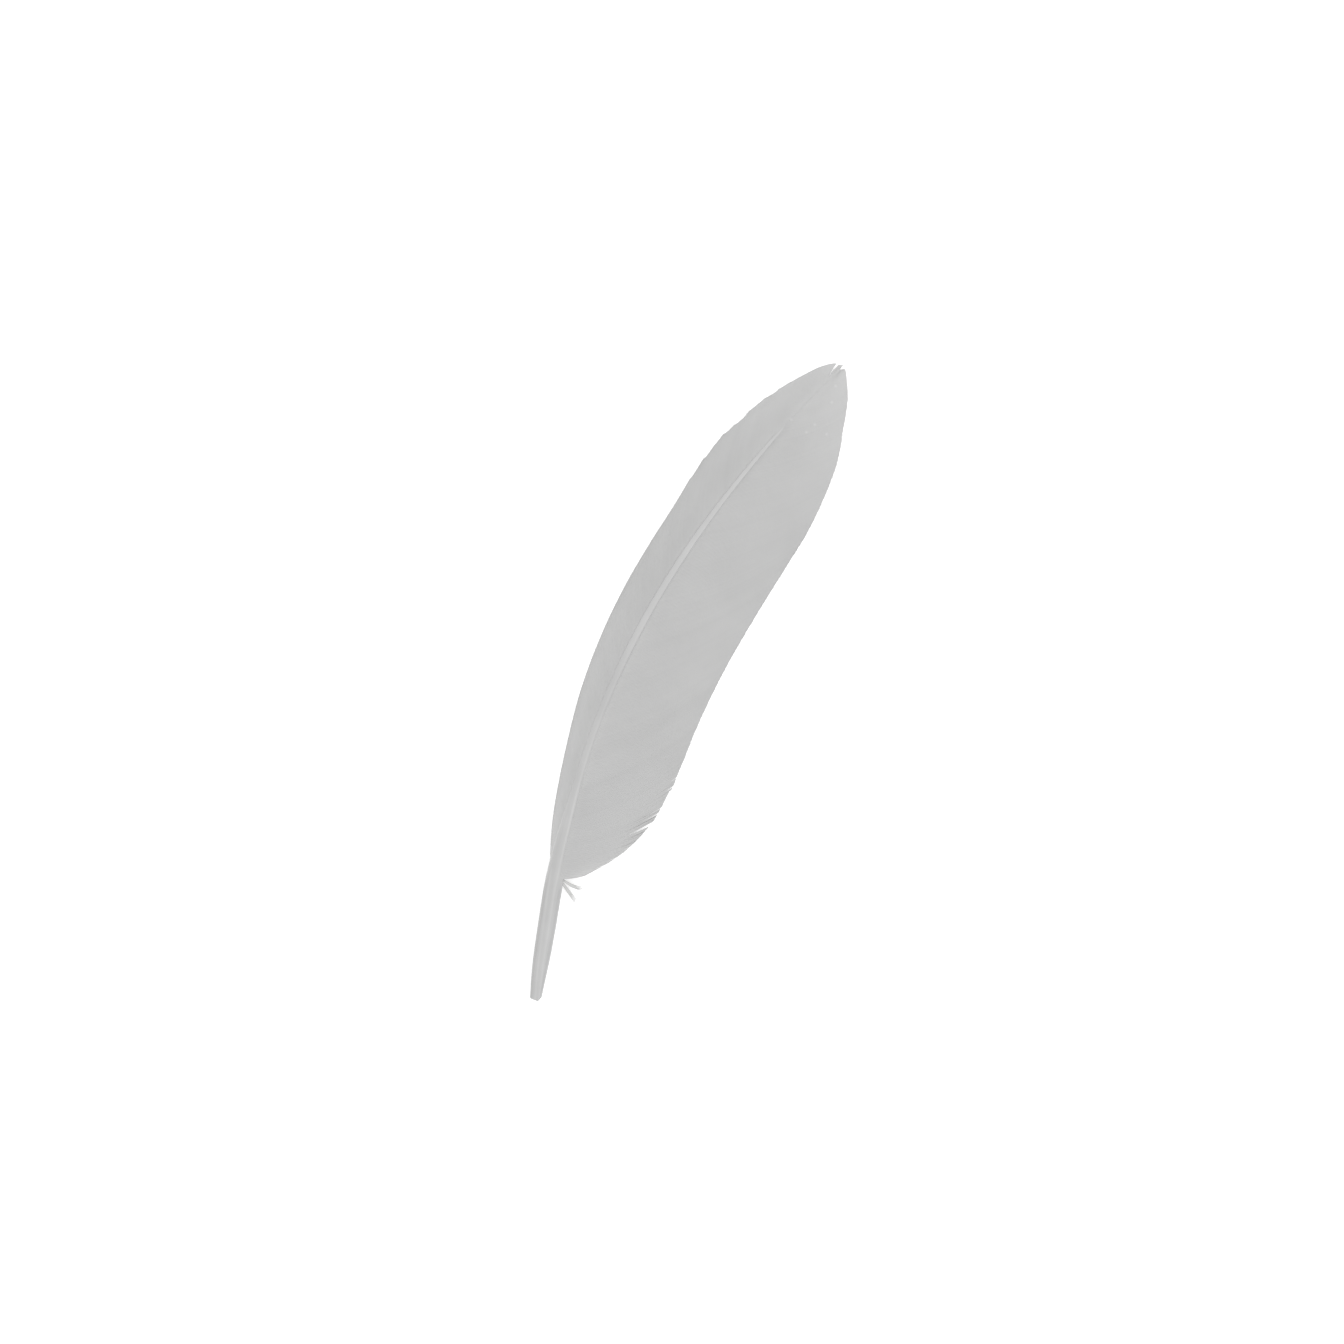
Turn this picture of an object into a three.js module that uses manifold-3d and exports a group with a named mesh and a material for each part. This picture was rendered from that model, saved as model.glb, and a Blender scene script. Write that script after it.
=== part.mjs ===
import * as THREE from 'three';
import Module from 'manifold-3d';

// A goose quill feather, plucked and trimmed, lying back up on a flat surface.
// Quill, shaft, both vanes and the loose barbs at their foot grew as one piece, so they are one mesh.
// Millimetres, +Z up. The quill's cut end points to -X and the feather's tip to +X. The narrow
// leading vane is on the +Y side and the wide trailing vane on the -Y side. The outlines below start
// at the middle of the cut end, and the finished feather is centred over the origin.

// The shaft is one tapering rod that bows sideways in plan and arches off the surface. Its rear
// stretch is the bare round quill, and the vanes grow from the rest, the rachis. It strays a little
// from an even bow, and a stray below 0 is towards the trailing side.
const SHAFT_LENGTH = 153.7;
const BOW_DEGREES = 20.2;
const BOW_IN_THE_MIDDLE = 0.4;
const SHAFT_STRAYS = [[0, -0.05], [5, -0.22], [10, -0.42], [16, -0.56], [24, -0.5], [31, -0.38], [43, -0.48],
  [62, -0.25], [85, -0.33], [115, -0.4], [130, -0.3], [SHAFT_LENGTH, 0]];
const ARCH_HEIGHT = 3.4;
const TIP_HEIGHT = 0.25;
const SHAFT_WIDTHS = [[0, 2.35], [4, 2.85], [8, 3.25], [14, 3.65], [20, 3.85], [24, 3.85], [30, 3.4], [36, 2.8],
  [42, 2.2], [50, 1.75], [60, 1.55], [89, 1.35], [105, 1.1], [120, 0.8], [133, 0.5], [SHAFT_LENGTH, 0.3]];
const QUILL_DEPTH_RATIO = 0.95;
const RACHIS_DEPTH_RATIO = 1.25;
const LEAST_DEPTH = 0.5;
const RACHIS_STARTS = 24;
const RACHIS_SETTLES = 40;
const GROOVE_DEPTH_RATIO = 0.35;
const CUT_SLANT = 0.2;
const PIT_RADIUS = 0.55;
const PIT_DEPTH = 2;
const QUILL_RINGS = 12;
const SHAFT_TIP_RINGS = 2;

// A shaft section's corners, in degrees round from the leading side. A vane grows from the flat
// between the first two corners, and the other vane from the same flat on the trailing side.
const SECTION_CORNERS = [24, 0, -30, -58, -90, -122, -150, -180, -204, -226, -248, -270, -292, -314];
const GROOVE_CORNER = 4;

// The vanes are thin sheets of barbs, drawn by guide barbs: how far along the shaft each one grows,
// and the place in plan where its tip ends
const LEADING_GUIDES = [[26, 27.2, 10.3], [29.5, 31, 11.6], [34.5, 36.5, 13.6], [41, 44, 15.8], [47.5, 53, 18],
  [55, 63, 20], [64, 75, 21.2], [74.5, 87, 21.3], [84.5, 98, 20.5], [93, 107, 19.3], [101, 116, 18.2],
  [108, 124, 16.6], [118, 132, 13.4], [129, 140, 9.4], [138.5, 146, 5.5], [146, 149.3, 2.4], [150, 150, 0.3]];
const TRAILING_GUIDES = [[26, 28, 1.8], [27.5, 33.5, -2], [29.5, 39, -4.6], [33, 46, -6.1], [38, 56, -6.4],
  [46, 68, -5.8], [56, 80, -5.8], [67, 92, -6.6], [80, 105, -7.9], [92, 115, -8.9], [105, 125, -8.8],
  [116, 132, -7.9], [126, 138, -6.2], [137, 144, -4.1], [145.5, 148, -2.1], [150, 149.8, -0.3]];
const VANE_STARTS = 26;
const VANE_ENDS = 150;
const LOCKS = 40;
const POINTS_ALONG_BARB = [0.12, 0.3, 0.5, 0.7, 0.88, 1];
const BARB_BULGE = 0.1;
const EDGE_THICKNESS = 0.25;
const LOCK_RELIEF = 0.1;
const TOUCHES_DOWN_AT = 0.86;
const CAMBER_POWER = 1.6;

// Each lock of barbs ends a little ahead of the seam beside it. Where the vane has parted, the seam
// is open further: its place along the shaft, and the share of the barbs that still holds together.
const SCALLOP = 0.975;
const LEADING_PARTINGS = [[28, 0.7], [110, 0.93], [118, 0.92], [147, 0.5]];
const TRAILING_PARTINGS = [[28, 0.72], [31, 0.66], [34, 0.8], [138, 0.85], [148, 0.6]];

// Loose barbs that hang back from the foot of the trailing vane, from root to tip in plan
const LOOSE_BARBS = [
  { root: [24.6, 7.9], bend: [24.6, 4.5], tip: [21.8, 1.4] },
  { root: [25.4, 8.1], bend: [26.4, 4.6], tip: [25.4, 0.6] },
];
const LOOSE_ROOT_HEIGHT = 2.6;
const LOOSE_TIP_HEIGHT = 0.25;
const LOOSE_WIDTHS = [0.5, 0.24];
const LOOSE_STEPS = 6;

// A smooth run of values through rows whose first number says how far along the shaft each row is
function smoothRows(rows) {
  const size = rows[0].length - 1;
  const places = rows.map((row) => row[0]);
  const values = rows.flatMap((row) => row.slice(1));
  const curve = new THREE.CubicInterpolant(places, values, size, new Float32Array(size));
  return (along) => [...curve.evaluate(along)];
}

// The shaft's middle line in plan. Its heading turns steadily from one end to the other, and
// somewhat faster around the middle.
const LINE_STEPS = 300;

function shaftHeading(share) {
  const turned = THREE.MathUtils.lerp(share, THREE.MathUtils.smoothstep(share, 0, 1), BOW_IN_THE_MIDDLE);
  return THREE.MathUtils.degToRad(BOW_DEGREES * (1 - 2 * turned));
}

function shaftLine() {
  const places = [new THREE.Vector2(0, 0)];
  for (let step = 0; step < LINE_STEPS; step += 1) {
    const heading = shaftHeading((step + 0.5) / LINE_STEPS);
    const stride = new THREE.Vector2(Math.cos(heading), Math.sin(heading));
    places.push(places[step].clone().addScaledVector(stride, SHAFT_LENGTH / LINE_STEPS));
  }
  return places;
}

const middleLine = shaftLine();
const strayAlong = smoothRows(SHAFT_STRAYS);

function shaftPlace(along) {
  const step = (along / SHAFT_LENGTH) * LINE_STEPS;
  const before = Math.min(Math.floor(step), LINE_STEPS - 1);
  const heading = shaftHeading(along / SHAFT_LENGTH);
  const sideways = new THREE.Vector2(-Math.sin(heading), Math.cos(heading));
  return middleLine[before].clone().lerp(middleLine[before + 1], step - before)
    .addScaledVector(sideways, strayAlong(along)[0]);
}

// The shaft's width and depth, and its height over the surface, which its two ends touch
const widthAlong = smoothRows(SHAFT_WIDTHS);

function shaftWidth(along) {
  return widthAlong(along)[0];
}

function rachisShare(along) {
  return THREE.MathUtils.smoothstep(along, RACHIS_STARTS, RACHIS_SETTLES);
}

function shaftDepth(along) {
  const ratio = THREE.MathUtils.lerp(QUILL_DEPTH_RATIO, RACHIS_DEPTH_RATIO, rachisShare(along));
  return Math.max(shaftWidth(along) * ratio, LEAST_DEPTH);
}

function shaftHeight(along) {
  const share = along / SHAFT_LENGTH;
  const ends = THREE.MathUtils.lerp(shaftDepth(0) / 2, TIP_HEIGHT, share);
  return ends + ARCH_HEIGHT * 4 * share * (1 - share);
}

// One upright section across the shaft. At the cut end the section slants.
function shaftSection(along, width, depth, slant = 0) {
  const middle = shaftPlace(along);
  const heading = shaftHeading(along / SHAFT_LENGTH);
  return SECTION_CORNERS.map((degrees, corner) => {
    const angle = THREE.MathUtils.degToRad(degrees);
    const across = (width / 2) * Math.cos(angle);
    const groove = corner === GROOVE_CORNER ? 1 - GROOVE_DEPTH_RATIO * rachisShare(along) : 1;
    const up = (depth / 2) * Math.sin(angle) * groove;
    return new THREE.Vector3(
      middle.x - across * Math.sin(heading) + across * slant,
      middle.y + across * Math.cos(heading),
      shaftHeight(along) + up,
    );
  });
}

// The row of sections from the bottom of the pit in the cut end, out of it and along to the tip
function shaftSections() {
  const pitWidth = PIT_RADIUS * 2;
  const sections = [
    shaftSection(PIT_DEPTH, pitWidth * 0.6, pitWidth * 0.6),
    shaftSection(0, pitWidth, pitWidth, CUT_SLANT),
    shaftSection(0, shaftWidth(0), shaftDepth(0), CUT_SLANT),
  ];
  const plain = (along) => shaftSection(along, shaftWidth(along), shaftDepth(along));
  for (let ring = 1; ring < QUILL_RINGS; ring += 1) {
    sections.push(plain((ring / QUILL_RINGS) * VANE_STARTS));
  }
  const firstWithVane = sections.length;
  for (const along of barbLines()) {
    sections.push(plain(along));
  }
  for (let ring = 1; ring <= SHAFT_TIP_RINGS; ring += 1) {
    sections.push(plain(THREE.MathUtils.lerp(VANE_ENDS, SHAFT_LENGTH, ring / SHAFT_TIP_RINGS)));
  }
  return { sections, firstWithVane };
}

// Where barb lines grow along the shaft. Every second line is the ridge of a lock, and those
// between are the seams.
function barbLines() {
  const lines = LOCKS * 2;
  return Array.from({ length: lines + 1 }, (_, line) => (
    THREE.MathUtils.lerp(VANE_STARTS, VANE_ENDS, line / lines)));
}

// A barb's path in plan. It leaves the shaft at a wide angle and bends towards the feather's tip.
function barbPath(along, side) {
  const root = shaftPlace(along);
  const tip = new THREE.Vector2(...side.tipAlong(along));
  const run = tip.clone().sub(root);
  const outwards = new THREE.Vector2(-run.y, run.x).multiplyScalar(side.sign * BARB_BULGE);
  return new THREE.QuadraticBezierCurve(root, root.clone().lerp(tip, 0.5).add(outwards), tip);
}

// The share of a barb line that the vane reaches
function barbReach(along, isRidge, partings) {
  if (isRidge) {
    return 1;
  }
  const lockLength = (VANE_ENDS - VANE_STARTS) / LOCKS;
  const parting = partings.find(([place]) => Math.abs(place - along) < lockLength / 2);
  return parting ? parting[1] : SCALLOP;
}

// The upper and lower points along one barb line, from beside the shaft out to the vane's edge.
// The vane droops from the shaft until its edge lies flat on the surface.
function barbPoints(along, isRidge, side, topCorner, bottomCorner) {
  const path = barbPath(along, side);
  const reach = barbReach(along, isRidge, side.partings);
  const edge = path.getPoint(1);
  const rootShare = path.getPoint(0).distanceTo(new THREE.Vector2(topCorner.x, topCorner.y))
    / path.getPoint(0).distanceTo(edge);
  const rootThickness = topCorner.z - bottomCorner.z;
  return POINTS_ALONG_BARB.map((step) => {
    const share = THREE.MathUtils.lerp(rootShare, 1, step * reach);
    const place = path.getPoint(share);
    const fall = Math.min(share / TOUCHES_DOWN_AT, 1) ** CAMBER_POWER;
    const full = THREE.MathUtils.lerp(Math.max(topCorner.z, EDGE_THICKNESS), EDGE_THICKNESS, fall);
    const thickness = THREE.MathUtils.lerp(rootThickness, EDGE_THICKNESS, share);
    const relief = isRidge ? 0 : LOCK_RELIEF * Math.min(share * 4, 1);
    return {
      top: new THREE.Vector3(place.x, place.y, full - relief),
      bottom: new THREE.Vector3(place.x, place.y, Math.max(full - thickness, 0)),
    };
  });
}

const SIDES = [
  { sign: 1, tipAlong: smoothRows(LEADING_GUIDES), partings: LEADING_PARTINGS, topCorner: 0, bottomCorner: 1 },
  { sign: -1, tipAlong: smoothRows(TRAILING_GUIDES), partings: TRAILING_PARTINGS, topCorner: 8, bottomCorner: 7 },
];

// The feather's closed skin: sections joined along the shaft, with a vane in place of the shaft's
// own flat on each side
function featherSkin() {
  const { sections, firstWithVane } = shaftSections();
  const lines = barbLines();
  const vertices = sections.flat();
  const corners = SECTION_CORNERS.length;
  const lastWithVane = firstWithVane + lines.length - 1;
  const triangles = [];
  const quad = (a, b, c, d) => triangles.push([a, b, c], [a, c, d]);

  for (let ring = 0; ring < sections.length - 1; ring += 1) {
    const hasVane = ring >= firstWithVane && ring < lastWithVane;
    for (let corner = 0; corner < corners; corner += 1) {
      const isVaneFlat = corner === SIDES[0].topCorner || corner === SIDES[1].bottomCorner;
      if (!(hasVane && isVaneFlat)) {
        const here = ring * corners + corner;
        const beside = ring * corners + ((corner + 1) % corners);
        quad(here, here + corners, beside + corners, beside);
      }
    }
  }
  const lastRing = (sections.length - 1) * corners;
  for (let corner = 1; corner < corners - 1; corner += 1) {
    triangles.push([0, corner, corner + 1], [lastRing, lastRing + corner + 1, lastRing + corner]);
  }

  for (const side of SIDES) {
    const rows = lines.map((along, line) => {
      const ring = (firstWithVane + line) * corners;
      const tops = [ring + side.topCorner];
      const bottoms = [ring + side.bottomCorner];
      const points = barbPoints(along, line % 2 === 0, side, vertices[tops[0]], vertices[bottoms[0]]);
      for (const { top, bottom } of points) {
        tops.push(vertices.push(top) - 1);
        bottoms.push(vertices.push(bottom) - 1);
      }
      return { tops, bottoms };
    });
    const face = (a, b, c, d) => (side.sign > 0 ? quad(a, b, c, d) : quad(d, c, b, a));
    const edge = POINTS_ALONG_BARB.length;
    for (let line = 0; line < rows.length - 1; line += 1) {
      const here = rows[line];
      const next = rows[line + 1];
      for (let point = 0; point < edge; point += 1) {
        face(here.tops[point], next.tops[point], next.tops[point + 1], here.tops[point + 1]);
        face(here.bottoms[point + 1], next.bottoms[point + 1], next.bottoms[point], here.bottoms[point]);
      }
      face(here.tops[edge], next.tops[edge], next.bottoms[edge], here.bottoms[edge]);
    }
    const first = rows[0];
    const last = rows.at(-1);
    for (let point = 0; point < edge; point += 1) {
      face(first.tops[point], first.tops[point + 1], first.bottoms[point + 1], first.bottoms[point]);
      face(last.tops[point + 1], last.tops[point], last.bottoms[point], last.bottoms[point + 1]);
    }
  }
  return { vertices, triangles };
}

// A loose barb's closed skin: a thin tapering strip that bends down from the shaft to the surface
function looseBarbSkin({ root, bend, tip }) {
  const path = new THREE.QuadraticBezierCurve(
    new THREE.Vector2(...root), new THREE.Vector2(...bend), new THREE.Vector2(...tip));
  const vertices = [];
  const triangles = [[0, 1, 2], [0, 2, 3]];
  for (let step = 0; step <= LOOSE_STEPS; step += 1) {
    const share = step / LOOSE_STEPS;
    const middle = path.getPoint(share);
    const heading = path.getTangent(share);
    const half = THREE.MathUtils.lerp(...LOOSE_WIDTHS, share) / 2;
    const height = THREE.MathUtils.lerp(LOOSE_ROOT_HEIGHT, LOOSE_TIP_HEIGHT, share ** CAMBER_POWER);
    for (const [across, up] of [[1, 1], [-1, 1], [-1, -1], [1, -1]]) {
      vertices.push(new THREE.Vector3(
        middle.x + across * half * heading.y,
        middle.y - across * half * heading.x,
        height + up * half,
      ));
    }
    if (step > 0) {
      for (let corner = 0; corner < 4; corner += 1) {
        const here = step * 4 + corner;
        const beside = step * 4 + ((corner + 1) % 4);
        triangles.push([here - 4, here, beside], [here - 4, beside, beside - 4]);
      }
    }
  }
  const last = LOOSE_STEPS * 4;
  triangles.push([last, last + 2, last + 1], [last, last + 3, last + 2]);
  return { vertices, triangles };
}

const wasm = await Module();
wasm.setup();

// A closed skin as a solid that can be joined to another
function solidOf({ vertices, triangles }) {
  return new wasm.Manifold(new wasm.Mesh({
    numProp: 3,
    vertProperties: new Float32Array(vertices.flatMap((point) => point.toArray())),
    triVerts: new Uint32Array(triangles.flat()),
  }));
}

// The whole feather in one solid, centred over the origin and resting at height 0
function featherMesh() {
  let solid = solidOf(featherSkin());
  for (const barb of LOOSE_BARBS) {
    solid = solid.add(solidOf(looseBarbSkin(barb)));
  }
  const { vertProperties, triVerts } = solid.getMesh();
  const geometry = new THREE.BufferGeometry();
  geometry.setAttribute('position', new THREE.BufferAttribute(vertProperties, 3));
  geometry.setIndex(new THREE.BufferAttribute(triVerts, 1));
  geometry.computeBoundingBox();
  const middle = geometry.boundingBox.getCenter(new THREE.Vector3());
  geometry.translate(-middle.x, -middle.y, -geometry.boundingBox.min.z);
  geometry.computeVertexNormals();

  const material = new THREE.MeshStandardMaterial({ color: 0xc6c6c5, roughness: 0.75, metalness: 0 });
  const mesh = new THREE.Mesh(geometry, material);
  mesh.name = 'feather';
  return mesh;
}

const feather = new THREE.Group();
feather.add(featherMesh());

export default feather;
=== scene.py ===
import math
import bpy
import numpy as np
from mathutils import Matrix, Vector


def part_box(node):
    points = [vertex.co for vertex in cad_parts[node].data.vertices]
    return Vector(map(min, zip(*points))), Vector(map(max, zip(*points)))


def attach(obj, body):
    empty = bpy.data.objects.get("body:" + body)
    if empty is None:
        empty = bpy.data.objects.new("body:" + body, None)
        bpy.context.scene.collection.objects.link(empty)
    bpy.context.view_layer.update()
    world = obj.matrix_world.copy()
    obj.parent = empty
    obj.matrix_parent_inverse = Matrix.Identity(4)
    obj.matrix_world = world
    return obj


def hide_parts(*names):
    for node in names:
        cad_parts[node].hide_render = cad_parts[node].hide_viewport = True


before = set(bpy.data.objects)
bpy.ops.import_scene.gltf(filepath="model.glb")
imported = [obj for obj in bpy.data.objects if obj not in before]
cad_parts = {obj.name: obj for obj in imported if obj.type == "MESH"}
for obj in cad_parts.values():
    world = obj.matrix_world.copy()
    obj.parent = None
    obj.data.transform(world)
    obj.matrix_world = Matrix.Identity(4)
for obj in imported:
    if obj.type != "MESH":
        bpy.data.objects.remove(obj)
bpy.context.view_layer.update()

# The shaft
# One tapering rod of horn: the bare hollow quill with its end cut off, then the rachis, which is
# squarer, full of pith and grooved underneath. It bows sideways and arches off the surface it lies on.
# Lengths are in millimetres from the middle of the cut end, along the feather, across it and up.

MM = 0.001
QUILL_END_FROM_LOW_X = 0.153
QUILL_END_FROM_LOW_Y = 8.991
SHAFT_LENGTH = 153.7
BOW_DEGREES = 20.2
BOW_IN_THE_MIDDLE = 0.4
SHAFT_STRAYS = [[0, -0.05], [5, -0.22], [10, -0.42], [16, -0.56], [24, -0.5], [31, -0.38], [43, -0.48],
                [62, -0.25], [85, -0.33], [115, -0.4], [130, -0.3], [SHAFT_LENGTH, 0]]
ARCH_HEIGHT = 3.4
TIP_HEIGHT = 0.25
SHAFT_WIDTHS = [[0, 2.45], [4, 3.05], [8, 3.55], [14, 3.85], [20, 3.95], [24, 3.95], [30, 3.4], [36, 2.8],
                [42, 2.25], [50, 1.9], [60, 1.75], [86, 1.58], [102, 1.42], [110, 1.28], [120, 1.08],
                [130, 0.86], [138, 0.5], [148, 0.24], [SHAFT_LENGTH, 0.14]]
SHAFT_END_WIDTH = 0.05
QUILL_DEPTH_RATIO = 0.95
RACHIS_DEPTH_RATIO = 1.25
RACHIS_STARTS = 24
RACHIS_SETTLES = 40
QUILL_WALL = 0.33
HOLLOW_DEPTH = 7
SHAFT_SIDES = 96
LINE_STEPS = 300

# The cut end's outline from above: places across it, and how far along it each lies. It runs aslant, and
# one corner has broken off.
CUT_ACROSS = [-1.13, -0.6, 1.04]
CUT_ALONG = [0.05, -0.62, -0.2]
CUT_FADES_BY = 3

# The hollow narrows towards its bottom: the share of its depth where it has begun to, and its breadth there
# and at the bottom, as shares of its breadth near the cut. Both edges of the cut rim are bevelled.
HOLLOW_NARROWS_AT = 0.8
HOLLOW_NARROWED = 0.95
HOLLOW_BOTTOM = 0.5
INNER_BEVEL = 0.04
OUTER_BEVEL = 0.06

feather_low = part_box("feather")[0]
quill_end = np.array([feather_low[0] / MM + QUILL_END_FROM_LOW_X,
                      feather_low[1] / MM + QUILL_END_FROM_LOW_Y, 0])


def smooth_run(rows, along):
    """Values on a smooth run through rows, each of which starts with its distance along the shaft."""
    rows = np.array(rows, float)
    places, values = rows[:, 0], rows[:, 1:]
    gaps = np.diff(places)
    slopes = np.diff(values, axis=0) / gaps[:, None]
    leans = np.vstack([slopes[:1], (slopes[1:] + slopes[:-1]) / 2, slopes[-1:]])
    along = np.clip(along, places[0], places[-1])
    row = np.clip(np.searchsorted(places, along, side="right") - 1, 0, len(gaps) - 1)
    gap = gaps[row][..., None]
    share = (along - places[row])[..., None] / gap
    rest = 1 - share
    return (rest**2 * (1 + 2 * share) * values[row] + share**2 * (1 + 2 * rest) * values[row + 1]
            + rest**2 * share * gap * leans[row] - share**2 * rest * gap * leans[row + 1])


def ease(value, start, end):
    """Rises smoothly from 0 at start to 1 at end."""
    share = np.clip((value - start) / (end - start), 0, 1)
    return share * share * (3 - 2 * share)


def shaft_heading(along):
    share = np.clip(along / SHAFT_LENGTH, 0, 1)
    turned = share + (ease(share, 0, 1) - share) * BOW_IN_THE_MIDDLE
    return np.radians(BOW_DEGREES) * (1 - 2 * turned)


line_places = np.linspace(0, SHAFT_LENGTH, LINE_STEPS + 1)
line_headings = shaft_heading((line_places[1:] + line_places[:-1]) / 2)
line_x = np.append(0, np.cumsum(np.cos(line_headings))) * SHAFT_LENGTH / LINE_STEPS
line_y = np.append(0, np.cumsum(np.sin(line_headings))) * SHAFT_LENGTH / LINE_STEPS


def shaft_place(along):
    stray = smooth_run(SHAFT_STRAYS, along)[..., 0]
    heading = shaft_heading(along)
    x = np.interp(along, line_places, line_x) - stray * np.sin(heading)
    y = np.interp(along, line_places, line_y) + stray * np.cos(heading)
    return x, y


def rachis_share(along):
    return ease(along, RACHIS_STARTS, RACHIS_SETTLES)


def shaft_width(along):
    return smooth_run(SHAFT_WIDTHS, along)[..., 0]


def shaft_depth(along):
    ratio = QUILL_DEPTH_RATIO + (RACHIS_DEPTH_RATIO - QUILL_DEPTH_RATIO) * rachis_share(along)
    return shaft_width(along) * ratio


def shaft_height(along):
    share = along / SHAFT_LENGTH
    lifted = (1 - share) * shaft_depth(np.array(0.0)) / 2 + share * TIP_HEIGHT
    return lifted + ARCH_HEIGHT * 4 * share * (1 - share)


def draw_rod(name, rings):
    """Draws a closed rod along X, one extrusion for each ring of (place, width, depth)."""
    place, width, depth = rings[0]
    bpy.ops.object.select_all(action="DESELECT")
    bpy.ops.mesh.primitive_circle_add(vertices=SHAFT_SIDES, radius=0.5 * MM, fill_type="NGON",
                                      location=(place * MM, 0, 0), rotation=(0, math.pi / 2, 0))
    bpy.ops.object.transform_apply(location=True, rotation=True, scale=True)
    rod = bpy.context.object
    rod.name = rod.data.name = name
    bpy.ops.object.mode_set(mode="EDIT")
    bpy.ops.mesh.select_all(action="SELECT")
    bpy.ops.transform.resize(value=(1, width, depth), center_override=(place * MM, 0, 0))
    for before, after in zip(rings, rings[1:]):
        stride = (after[0] - before[0]) * MM
        bpy.ops.mesh.extrude_region_move(TRANSFORM_OT_translate={"value": (stride, 0, 0)})
        bpy.ops.transform.resize(value=(1, after[1] / before[1], after[2] / before[2]),
                                 center_override=(after[0] * MM, 0, 0))
    bpy.ops.mesh.select_all(action="SELECT")
    bpy.ops.mesh.normals_make_consistent(inside=False)
    bpy.ops.object.mode_set(mode="OBJECT")
    return rod


def shaft_rings():
    """The rings from the bottom of the hollow, out over the cut rim and along to the tip."""
    rim_width = shaft_width(np.array(0.0))
    rim_depth = shaft_depth(np.array(0.0))
    hollow = rim_width - 2 * QUILL_WALL
    mouth = hollow + 2 * INNER_BEVEL
    rings = [(HOLLOW_DEPTH, hollow * HOLLOW_BOTTOM, hollow * HOLLOW_BOTTOM),
             (HOLLOW_DEPTH * HOLLOW_NARROWS_AT, hollow * HOLLOW_NARROWED, hollow * HOLLOW_NARROWED),
             (0.1, hollow, hollow),
             (0, mouth, mouth),
             (0, rim_width - 2 * OUTER_BEVEL, rim_depth - 2 * OUTER_BEVEL)]
    quill_places = np.append([0.08, 0.3], np.linspace(1, RACHIS_STARTS, RACHIS_STARTS))
    rachis_places = np.append(np.linspace(25.5, RACHIS_SETTLES, 12), np.linspace(42, SHAFT_LENGTH - 0.2, 60))
    for place in np.append(quill_places, rachis_places):
        rings.append((place, shaft_width(place), shaft_depth(place)))
    rings.append((SHAFT_LENGTH, SHAFT_END_WIDTH, SHAFT_END_WIDTH))
    return rings


# The section's shape: how square the rachis is, its groove, two fine ribs on its back, and faint facets
# round the quill. The first rib runs down the quill alone. The second is the crest of the back, and its
# place across it wanders. Both rise near the cut end and fade out further along. Points past OUTER_FROM of
# the section's radius are on its outside, and the others line the hollow.
SQUARENESS = 0.85
GROOVE_HALF_ANGLE = 0.75
GROOVE_DEPTH_RATIO = 0.42
RIB_PLACES = [[0, 0.15], [3, 0.2], [8, 0.5], [SHAFT_LENGTH, 0.52]]
CREST_PLACES = [[3, -0.72], [8, -0.6], [13, -0.6], [23, -0.48], [28, -0.66], [35, -0.7], [44, -0.42],
                [60, -0.15], [80, 0], [SHAFT_LENGTH, 0]]
RIB_HEIGHT = 0.035
RIB_BREADTH = 0.22
RIB_FADES = (24, 31)
CREST_FADES = (70, 90)
RIBS_RISE = (0.5, 5)
FACETS = 9
FACET_HEIGHT = 0.01
OUTER_FROM = 0.95

# How pale the horn is, from 0 to 1: along its back, on its crest and rib, down its flanks and in the hollow.
# Past 78 mm the back's paleness also stands in for a painted highlight along the top of the rachis. The
# paleness on the crest and rib is a painted highlight along them. The flanks' darkening is painted shade; it
# comes in over FLANK_SHARES of the width, off the middle, and fades out along the shaft.
BACK_TONES = [[0, 0.46], [24, 0.5], [36, 0.5], [48, 0.54], [60, 0.48], [70, 0.42], [78, 0.64], [90, 0.76],
              [110, 0.84], [132, 0.84], [SHAFT_LENGTH, 0.66]]
CREST_PAINTED_HIGHLIGHTS = [[0, 0.25], [28, 0.36], [43, 0.4], [50, 0.2], [60, 0.06], [75, 0], [SHAFT_LENGTH, 0]]
RIB_PAINTED_HIGHLIGHT = 0.32
FLANK_PAINTED_SHADE = -0.45
FLANK_SHARES = (0.27, 0.37)
FLANK_FADES = (22, 28)
HOLLOW_TONE = 0.1


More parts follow.
